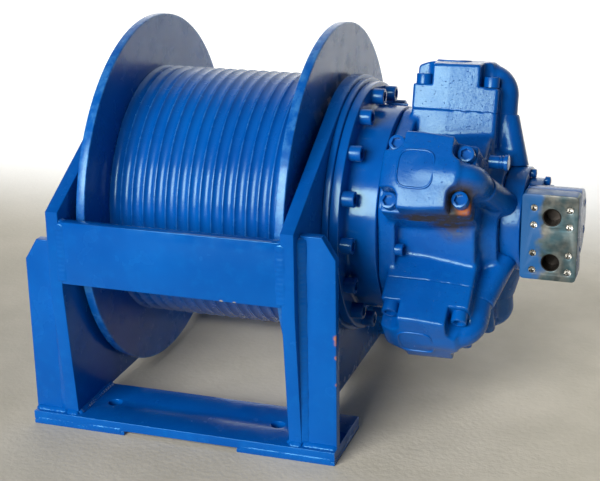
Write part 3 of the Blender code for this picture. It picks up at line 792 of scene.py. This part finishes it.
def gusset(end, side):
    node = f"gusset_{end}_{side}"
    low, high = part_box(node)
    outward = -1.0 if side == "left" else 1.0
    inner, outer = (high.x, low.x) if side == "left" else (low.x, high.x)
    shape = [(inner, low.z), (outer, low.z), (outer, high.z - 0.032), (outer - outward * 0.020, high.z),
             (inner, high.z)]
    frame_plate(node, flat_plate(node, [shape], high.y - low.y, upright((low.y + high.y) / 2)))


def level_plate(node, holes):
    low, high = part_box(node)
    edge = [(low.x, low.y), (high.x, low.y), (high.x, high.y), (low.x, high.y)]
    loops = [edge] + [round_loop(ANCHOR_RADIUS, hole, 32) for hole in holes]
    place = Matrix.Translation((0, 0, (low.z + high.z) / 2))
    frame_plate(node, flat_plate(node, loops, high.z - low.z, place))


def base_strip(end):
    """A strip along the foot of the frame, with a pad under each end's anchor hole."""
    node = "base_strip_" + end
    low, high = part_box(node)
    middle = (low + high) / 2
    holes = {side: (middle.x + shift, middle.y) for side, shift in ANCHOR_SHIFTS.items()}
    level_plate(node, holes.values())
    for side, hole in holes.items():
        level_plate(f"foot_pad_{end}_{side}", [hole])


def cross_beam(end):
    node = "cross_beam_" + end
    frame_plate(node, soft_block(node, *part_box(node), 0.0008))


def depths(node, out):
    """A node's y on the side of the frame's front or rear, and its y on the inner side."""
    low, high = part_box(node)
    return (low.y, high.y) if out < 0 else (high.y, low.y)


def frame_welds():
    """Beads where the plates of the frame meet."""
    up = Vector((0.0, 0.0, 1.0))
    for end, out in (("front", -1.0), ("rear", 1.0)):
        runs = []
        fore = Vector((0.0, out, 0.0))
        beam, strip = "cross_beam_" + end, "base_strip_" + end
        low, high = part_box(beam)
        face, back = depths(beam, out)
        toe, heel = depths(strip, out)
        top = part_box(strip)[1].z
        for side, way in (("left", 1), ("right", -1)):
            inward = Vector((way, 0.0, 0.0))
            plate, rib = "side_plate_" + side, f"gusset_{end}_{side}"
            x, tip = span(beam)[::way][0], span(rib)[::way][0]
            outside, inside = span(plate)[::way]
            front, rear = depths(rib, out)
            rib_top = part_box(rib)[1].z
            # over the flush joint of beam and plate
            sunk = face - out * 0.0025
            flush = inward * 0.008 + fore * 0.0028, inward * -0.007 + fore * 0.0028
            runs.append(((x, sunk, low.z + 0.002), (x, sunk, high.z - 0.002), flush))
            # along the beam's top, and up its back
            corner = inward * 0.008, up * 0.004
            level = high.z - 0.0008
            runs.append(((x, face - out * 0.002, level), (x, back, level), corner))
            corner = inward * 0.006, fore * -0.006
            runs.append(((x, back, low.z + 0.003), (x, back, high.z - 0.003), corner))
            # round the foot of the plate and of the gusset
            corner = inward * 0.006, up * 0.006
            runs.append(((inside, toe - out * 0.010, top), (inside, heel, top), corner))
            plate_front = depths(plate, out)[0] - out * PLATE_LEAN
            corner = fore * 0.006, up * 0.006
            runs.append(((inside, plate_front, top), (outside, plate_front, top), corner))
            runs.append(((outside, front, top), (tip, front, top), corner))
            corner = fore * -0.006, up * 0.006
            runs.append(((outside, rear, top), (tip, rear, top), corner))
            # up both sides of the gusset, where the plate stands further out as it rises
            ends = (outside, front, top + 0.003), (outside, front, rib_top - 0.002)
            runs.append((*ends, (inward * -0.011, fore * 0.0034), (inward * -0.011, fore * 0.012)))
            ends = (outside, rear, top + 0.003), (outside, rear, rib_top - 0.002)
            runs.append((*ends, (inward * -0.007, fore * -0.007)))
            # between strip and foot pad
            pad_low, pad_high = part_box(f"foot_pad_{end}_{side}")
            flush = up * 0.0045 + fore * 0.0028, up * -0.0045 + fore * 0.0028
            ends = [(x, toe - out * 0.0025, pad_high.z) for x in (pad_low.x + 0.003, pad_high.x - 0.003)]
            runs.append((*ends, flush))
        weld_beads(f"weld_beads_{end}", runs)


def axle_cap():
    """Stub axle with its cap, cap screws and a grease nipple on the drum's free end."""
    low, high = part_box("stub_axle")
    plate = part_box("side_plate_left")
    cap_in, cap_radius = plate[0].x - 0.0004, (high.z - low.z) / 2
    profile = [(low.x, 0.0), (low.x, cap_radius), (cap_in, cap_radius), (cap_in, 0.0595),
               (plate[1].x, 0.0595), (plate[1].x, 0.035), (high.x, 0.035), (high.x, 0.0)]
    turned_piece("stub_axle_cap", "stub_axle", eased(profile, 0.002), turned_paint)
    screw_ring("axle_screws", low.x, 0.077, range(30, 360, 60), M14, -ALONG_X)
    nipple = [(low.x - 0.012, 0.0), (low.x - 0.012, 0.0022), (low.x - 0.009, 0.0032), (low.x - 0.007, 0.0022),
              (low.x - 0.005, 0.0055), (low.x + 0.001, 0.0055), (low.x + 0.001, 0.0)]
    add_piece("grease_nipple", turned("grease_nipple", nipple, 24), screw_paint)


# ---- rope drum


def barrel_profile(start, end, crest):
    """Concave rope grooves side by side, narrow rounded crests between them."""
    pitch = (end - start) / GROOVES
    chord = pitch - CREST_WIDTH
    radius = (chord**2 / 4 + GROOVE_DEPTH**2) / (2 * GROOVE_DEPTH)
    half_turn = math.asin(chord / 2 / radius)
    points = [(start, crest)]
    for i in range(GROOVES):
        middle = start + (i + 0.5) * pitch
        for k in range(11):
            turn = half_turn * (k / 5.0 - 1.0)
            depth = radius * math.cos(turn) - (radius - GROOVE_DEPTH)
            points.append((middle + radius * math.sin(turn), crest - depth))
    return points + [(end, crest), (end, BARREL_BORE), (start, BARREL_BORE)]


def paint_wear_and_highlight(mesh, wear_and_highlight_at):
    """Stores how much the paint is lightened at each point, from its x and radius: worn paint and a painted
    highlight together.
    """
    attribute = mesh.attributes.new("wear_and_highlight", "FLOAT", "POINT")
    values = [wear_and_highlight_at(v.co.x, math.hypot(v.co.y, v.co.z - AXIS_Z)) for v in mesh.vertices]
    attribute.data.foreach_set("value", values)


def rope_drum():
    start, end = span("drum_barrel")
    crest = reach("drum_barrel")
    barrel = turned("drum_barrel", barrel_profile(start, end, crest), 224, 50.0)
    # groove crests lightened: paint worn by the rope, with a painted highlight
    paint_wear_and_highlight(barrel, lambda x, r: 0.4 if r > crest - 0.0006 else 0.0)
    add_piece("grooved_barrel", barrel, drum_paint, "drum", ("drum_barrel",))
    for side, bore in FLANGE_BORES.items():
        node = "drum_flange_" + side
        inner, outer = span(node)
        rim = reach(node)
        profile = softened(sleeve(inner, outer, bore, rim), 0.0018)
        profile[4:4] = [(inner, rim - 0.0045)]
        profile[-4:-4] = [(outer, rim - 0.0045)]
        disc = turned(node, profile, 256)
        # flange rims lightened: worn paint with a painted highlight
        paint_wear_and_highlight(disc, lambda x, r: 0.7 if r > rim - 0.0035 else 0.0)
        add_piece(node + "_disc", disc, drum_paint, "drum", (node,))


# ---- gearbox and brake


def gearbox_end():
    start, end = span("gearbox_flange")
    profile = softened(sleeve(start, end - RING_SHIFT, 0.030, reach("gearbox_flange")), 0.0015)
    turned_piece("gearbox_flange_ring", "gearbox_flange", profile, turned_paint, 200)
    start, end = span("brake_housing")
    start, end = start - RING_SHIFT, end - RING_SHIFT
    rim, neck = reach("brake_housing"), 0.1595
    seat = start + 0.0142
    outline = [(start, 0.115), (start, rim), (seat, rim), (seat, neck + 0.005),
               (seat + 0.0015, neck + 0.0015), (seat + 0.005, neck), (end, neck), (end, 0.030),
               (end - 0.010, 0.030), (end - 0.010, 0.115)]
    profile = softened(outline, 0.0018)
    turned_piece("brake_housing_shell", "brake_housing", profile, turned_paint, 200)
    degrees = [360 * i / FLANGE_SCREWS + FLANGE_SCREW_OFFSET for i in range(FLANGE_SCREWS)]
    screw_ring("flange_screws", seat - 0.0002, FLANGE_SCREW_CIRCLE, degrees, TALL_M16)
    vent = [(0.0, 0.0), (0.0, 0.0022), (0.003, 0.0022), (0.0035, 0.0014), (0.027, 0.0014), (0.0275, 0.0019),
            (0.031, 0.0019), (0.031, 0.0)]
    mesh = turned("vent", vent, 24)
    mesh.transform(Matrix.Translation((seat + 0.0125, 0.0391, neck - 0.0030)))
    add_piece("vent_pin", mesh, screw_paint)


# ---- motor


def cylinder_place(index):
    """Turns head coordinates (x, t, n) to their place on cylinder index."""
    out = CYLINDERS[index]
    across = out.cross(ALONG_X)
    turn = Matrix((ALONG_X, across, out)).transposed().to_4x4()
    return Matrix.Translation(MOTOR) @ turn


def badge(index):
    """A cast ridge round a blank field on the crown."""
    bm = bmesh.new()
    rings = []
    round_ridge = full_turn(8)
    for turn in full_turn(72):
        c, s = math.cos(turn), math.sin(turn)
        x = BADGE_CENTRE_X + BADGE_HALF[0] * math.copysign(abs(c) ** 0.55, c)
        t = BADGE_HALF[1] * math.copysign(abs(s) ** 0.55, s)
        centre = Vector((x, t, float(crown_height(x, t)) + 0.0001))
        out = Vector((x - BADGE_CENTRE_X, t, 0.0)).normalized() * 0.0020
        rise = Vector((0.0, 0.0, 0.0018))
        rings.append([bm.verts.new(centre + out * math.cos(a) + rise * math.sin(a)) for a in round_ridge])
    bridge(bm, rings + rings[:1], len(round_ridge))
    mesh = from_bmesh("badge", bm, 60.0)
    mesh.transform(cylinder_place(index))
    add_piece(f"badge_{index + 1}", mesh, cast_paint)


def cylinder_heads():
    low, high = (-HALF_X, -HALF_T, PARTING), (0.090, HALF_T, CROWN + 0.002)
    pattern = skin("head", head_field, low, high, HEAD_STEP)
    seats = [(x, side * t, SEAT) for x, t in (DRUM_SIDE_SCREW, PORT_SIDE_SCREW) for side in (-1, 1)]
    for index in range(len(CYLINDERS)):
        place = cylinder_place(index)
        mesh = pattern.copy()
        mesh.transform(place)
        node = f"cylinder_head_{index + 1}"
        paint = front_head_paint if index == 0 else cast_paint
        add_piece(node + "_casting", mesh, paint, stands_for=(node,))
        points = [(place @ Vector(seat), CYLINDERS[index]) for seat in seats]
        cap_screws(f"head_screws_{index + 1}", points, M16)
        badge(index)
    bpy.data.meshes.remove(pattern)


def crankcase():
    low = (CASE_START - MOTOR.x, -0.170, -0.170)
    high = (0.126, 0.170, 0.170)
    mesh = skin("crankcase", case_field, low, high, CASE_STEP)
    mesh.transform(Matrix.Translation(MOTOR))
    add_piece("crankcase_casting", mesh, case_paint, stands_for=("crankcase",))
    first = math.degrees(FIRST_ANGLE + STEP_ANGLE / 2) + VALLEY_SCREW_OFFSET
    degrees = [first + 72 * index for index in range(len(CYLINDERS))]
    screw_ring("case_screws", FLANGE_END - 0.0004, 0.1395, degrees, M12)


def drain_plug():
    """Ribbed round plug in the crankcase's rear shoulder."""
    x, y, z = MOTOR.x + 0.074, -0.100, 0.115
    rib = [(0.0, 0.0), (0.0, 0.0098), (0.0145, 0.0098), (0.0155, 0.0086), (0.0170, 0.0086), (0.0178, 0.0102),
           (0.0192, 0.0102), (0.0200, 0.0086), (0.0215, 0.0086), (0.0225, 0.0118), (0.0270, 0.0118),
           (0.0278, 0.0108), (0.0278, 0.0)]
    mesh = turned("drain_plug", rib, 48)
    mesh.transform(Matrix.Translation((x, y, z)))
    add_piece("case_plug", mesh, screw_paint)


def distributor():
    start, end = span("rear_cover")
    profile = softened(sleeve(start, end, 0.0413, COVER_RADIUS), 0.002)
    turned_piece("rear_cover_ring", "rear_cover", profile, cast_paint)
    screw_ring("cover_screws", end - 0.0002, 0.0705, range(98, 270, 50), M8)
    start, end = span("distributor_housing")
    wide, narrow, step = 0.064, 0.053, start + 0.0212
    outline = [(start, 0.0), (start, wide), (step, wide), (step, narrow), (end, narrow), (end, 0.0)]
    turned_piece("distributor_body", "distributor_housing", eased(outline, 0.0022), cast_paint)
    screw_ring("housing_screws", step - 0.0002, 0.0600, range(102, 300, 42), M8)
    start, end = span("end_cover")
    disc = eased(sleeve(start, end, 0.0, reach("end_cover")), 0.0022)
    turned_piece("end_cover_disc", "end_cover", disc, cast_paint)
    screw_ring("end_cover_screws", end - 0.0002, 0.043, range(30, 360, 60), FLUSH)


def into_face(x, y, z):
    """Stands a turned shape in the port face, its axis going straight in."""
    quarter = Matrix.Rotation(math.pi / 2, 4, "Z")
    return Matrix.Translation((x, y, z)) @ quarter @ Matrix.Translation((0, 0, -AXIS_Z))


def port_block():
    """Bare machined face with two ports and their flange threads, on a painted body."""
    low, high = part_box("port_block")
    centre_x, centre_z = low.x + 0.0446, (low.z + high.z) / 2 - 0.003
    ports = centre_z - PORT_OFFSET, centre_z + PORT_OFFSET
    half_x, half_z = TAP_OFFSETS
    taps = [(centre_x + dx, z + dz) for z in ports for dx in (-half_x, half_x) for dz in (-half_z, half_z)]
    edge = softened([(low.x, low.z), (high.x, low.z), (high.x, high.z), (low.x, high.z)], 0.007, 6)
    loops = [edge] + [round_loop(0.0135, (centre_x, z), 40) for z in ports]
    loops += [round_loop(0.0052, tap, 20) for tap in taps]
    mesh = flat_plate("port_face", loops, FACE_DEPTH, upright(low.y + FACE_DEPTH / 2), 0.0009)
    zinc = zinc_face("zinc_and_overspray", low, high)
    add_piece("port_face_plate", mesh, zinc, stands_for=("port_block",))
    inset = Vector((0.001, 0.0, 0.001))
    near_corner = Vector((low.x, low.y + FACE_DEPTH - 0.001, low.z)) + inset
    body = new_object("port_body_guide", soft_block("port_body", near_corner, high - inset, 0.003))
    start, end = span("distributor_housing")
    rooms = {"room_wide": (0.0645, start - 0.01, start + 0.0252), "room_narrow": (0.0525, start, end + 0.02)}
    for name, (radius, x0, x1) in rooms.items():
        room = turned(name, sleeve(x0, x1, 0.0, radius), 96)
        cut = body.modifiers.new(name, "BOOLEAN")
        cut.object, cut.operation, cut.solver = new_object(name, room), "DIFFERENCE", "EXACT"
    mesh = shaded(evaluated_mesh(body))
    for name in rooms:
        bpy.data.objects.remove(bpy.data.objects[name], do_unlink=True)
    add_piece("port_block_body", mesh, cast_paint)
    # each port's cup is closed at its bottom and made of the dark bore steel: painted shade down the port
    cup = [(0.0006, 0.0122), (0.0006, 0.0133), (0.028, 0.0133), (0.028, 0.0), (0.027, 0.0), (0.027, 0.0122)]
    thread = [(0.0003, 0.0050), (0.0010, 0.0044)]
    for i in range(6):
        thread += [(0.0016 + 0.0015 * i, 0.0038), (0.00235 + 0.0015 * i, 0.0044)]
    thread += [(0.011, 0.0), (0.012, 0.0), (0.012, 0.0051), (0.0003, 0.0051)]
    cups = [(centre_x, z) for z in ports]
    for name, profile, places, segments, material in (
            ("port_bores", cup, cups, 40, bore_steel_and_painted_shade),
            ("port_threads", thread[::-1], taps, 20, thread_steel)):
        meshes = []
        for x, z in places:
            mesh = turned(name, profile, segments)
            mesh.transform(into_face(x, low.y, z))
            meshes.append(mesh)
        add_piece(name, joined(name, meshes), material)
    plug_x, plug_y = high.x - 0.0004, low.y + 0.0085
    plugs = [(Vector((plug_x, plug_y, centre_z + dz)), ALONG_X) for dz in (-0.033, 0.002, 0.037)]
    cap_screws("side_plugs", plugs, SIDE_PLUG)


# ---- carried-over CAD nodes


def finish_nodes():
    """Gives every CAD node that stays its own finish."""
    steel = metal("oiled_steel", (0.50, 0.50, 0.52, 1), (0.24, 0.23, 0.21, 1), 0.30)
    races = metal("race_steel", (0.66, 0.66, 0.68, 1), (0.38, 0.38, 0.38, 1), 0.16)
    bronze = metal("bronze", (0.60, 0.38, 0.15, 1), (0.33, 0.20, 0.08, 1), 0.32)
    finishes = {"gear_steel": steel, "bearing_steel": races, "bronze": bronze,
                "brake_lining": lining("sintered_lining", (0.09, 0.09, 0.095, 1), 0.75),
                "seal_rubber": lining("nitrile_rubber", (0.012, 0.012, 0.013, 1), 0.55),
                "frame_paint": plate_paint, "machined_paint": turned_paint, "casting_paint": cast_paint,
                "drum_paint": drum_paint, "zinc_plate": steel}
    for name, node in frame["nodes"].items():
        for slot in node.material_slots:
            slot.material = finishes[SLOTS[name]]


# ---- set, lights and camera


def sweep_mesh():
    """Floor that runs back, bends up and becomes the backdrop."""
    bend_y, bend_radius, top = 1.1, 0.8, 4.5
    profile = [(-9.0, 0.0), (-3.0, 0.0), (0.0, 0.0), (bend_y, 0.0)]
    for i in range(1, 13):
        turn = math.pi / 2 * i / 12
        profile.append((bend_y + bend_radius * math.sin(turn), bend_radius * (1 - math.cos(turn))))
    profile.append((bend_y + bend_radius, top))
    bm = bmesh.new()
    rows = [[bm.verts.new((x, y, z)) for x in (-7.0, -2.0, 2.0, 7.0)] for y, z in profile]
    for one, two in zip(rows, rows[1:]):
        for i in range(3):
            bm.faces.new((one[i], one[i + 1], two[i + 1], two[i]))
    return from_bmesh("floor", bm, 60.0)


def studio():
    floor = new_object("floor", sweep_mesh())
    floor.data.materials.append(concrete("pale_floor"))
    world = bpy.data.worlds.new("studio")
    bpy.context.scene.world = world
    world.use_nodes = True
    tree = world.node_tree
    sky = tree.nodes["Background"]
    parts = axes(tree, "Generated")
    height = ramp(tree, parts["Z"], 0.0, 0.9)
    overhead = blend(tree, height, (0.04, 0.045, 0.05, 1), (0.09, 0.10, 0.11, 1))
    behind = blend(tree, ramp(tree, parts["Y"], 0.30, 0.75), overhead, (1.0, 1.0, 1.0, 1))
    tree.links.new(behind, sky.inputs["Color"])
    sky.inputs["Strength"].default_value = 1.0
    for name, place, aim, size, power, colour in (
            ("bay_door", (-1.10, -4.3, 1.97), (-0.45, 0.0, 0.60), (2.95, 2.36), 332.0, (1.0, 0.99, 0.97)),
            ("backdrop_light", (-0.5, 0.75, 1.25), (-0.5, 1.60, 0.75), (3.2, 0.3), 22.0, (1.0, 1.0, 1.0))):
        light = bpy.data.lights.new(name, "AREA")
        light.shape, light.size, light.size_y = "RECTANGLE", *size
        light.energy, light.color = power, colour
        lamp = new_object(name, light)
        lamp.visible_camera = False
        look = (Vector(aim) - Vector(place)).to_track_quat("-Z", "Y").to_matrix().to_4x4()
        lamp.matrix_world = Matrix.Translation(place) @ look


def camera():
    """Looks down at the front of the winch from the motor's side."""
    place = Vector((0.6400, -2.0478, 0.9837))
    azimuth, pitch, roll = math.radians(18.892), math.radians(19.226), math.radians(-0.924)
    data = bpy.data.cameras.new("camera")
    data.sensor_width = 36.0
    data.lens = 84.62
    viewer = new_object("camera", data)
    turn = Matrix.Rotation(azimuth, 4, "Z") @ Matrix.Rotation(math.pi / 2 - pitch, 4, "X")
    viewer.matrix_world = Matrix.Translation(place) @ turn @ Matrix.Rotation(roll, 4, "Z")
    bpy.context.scene.camera = viewer
    bpy.context.scene.view_settings.view_transform = "Standard"


camera()
studio()
front = cylinder_place(0)
lower_screw = front @ Vector((0.050, -0.0335, 0.205))
# dark brown patches low on the front head's underside and round its lower screw, with a spot of rust by that screw
front_head_paint = enamel("front_head_enamel", 0.26, 0.00010, cast=1.0, colour_spots=(
    (front @ Vector((0.000, -0.062, 0.168)), 0.058, DARK_BROWN),
    (front @ Vector((0.045, -0.060, 0.172)), 0.050, DARK_BROWN), (lower_screw, 0.040, DARK_BROWN),
    (front @ Vector((0.058, -0.044, 0.196)), 0.017, RUST)))
# a dark brown patch on the crankcase under the front head
case_paint = enamel("crankcase_enamel", 0.22, 0.00010, cast=1.0, colour_spots=(
    (front @ Vector((0.030, -0.060, 0.145)), 0.045, DARK_BROWN),))
for name in ("left", "right"):
    side_plate(name)
for name in ("front", "rear"):
    cross_beam(name)
    base_strip(name)
    gusset(name, "left")
    gusset(name, "right")
frame_welds()
axle_cap()
rope_drum()
gearbox_end()
crankcase()
cylinder_heads()
drain_plug()
distributor()
port_block()
finish_nodes()
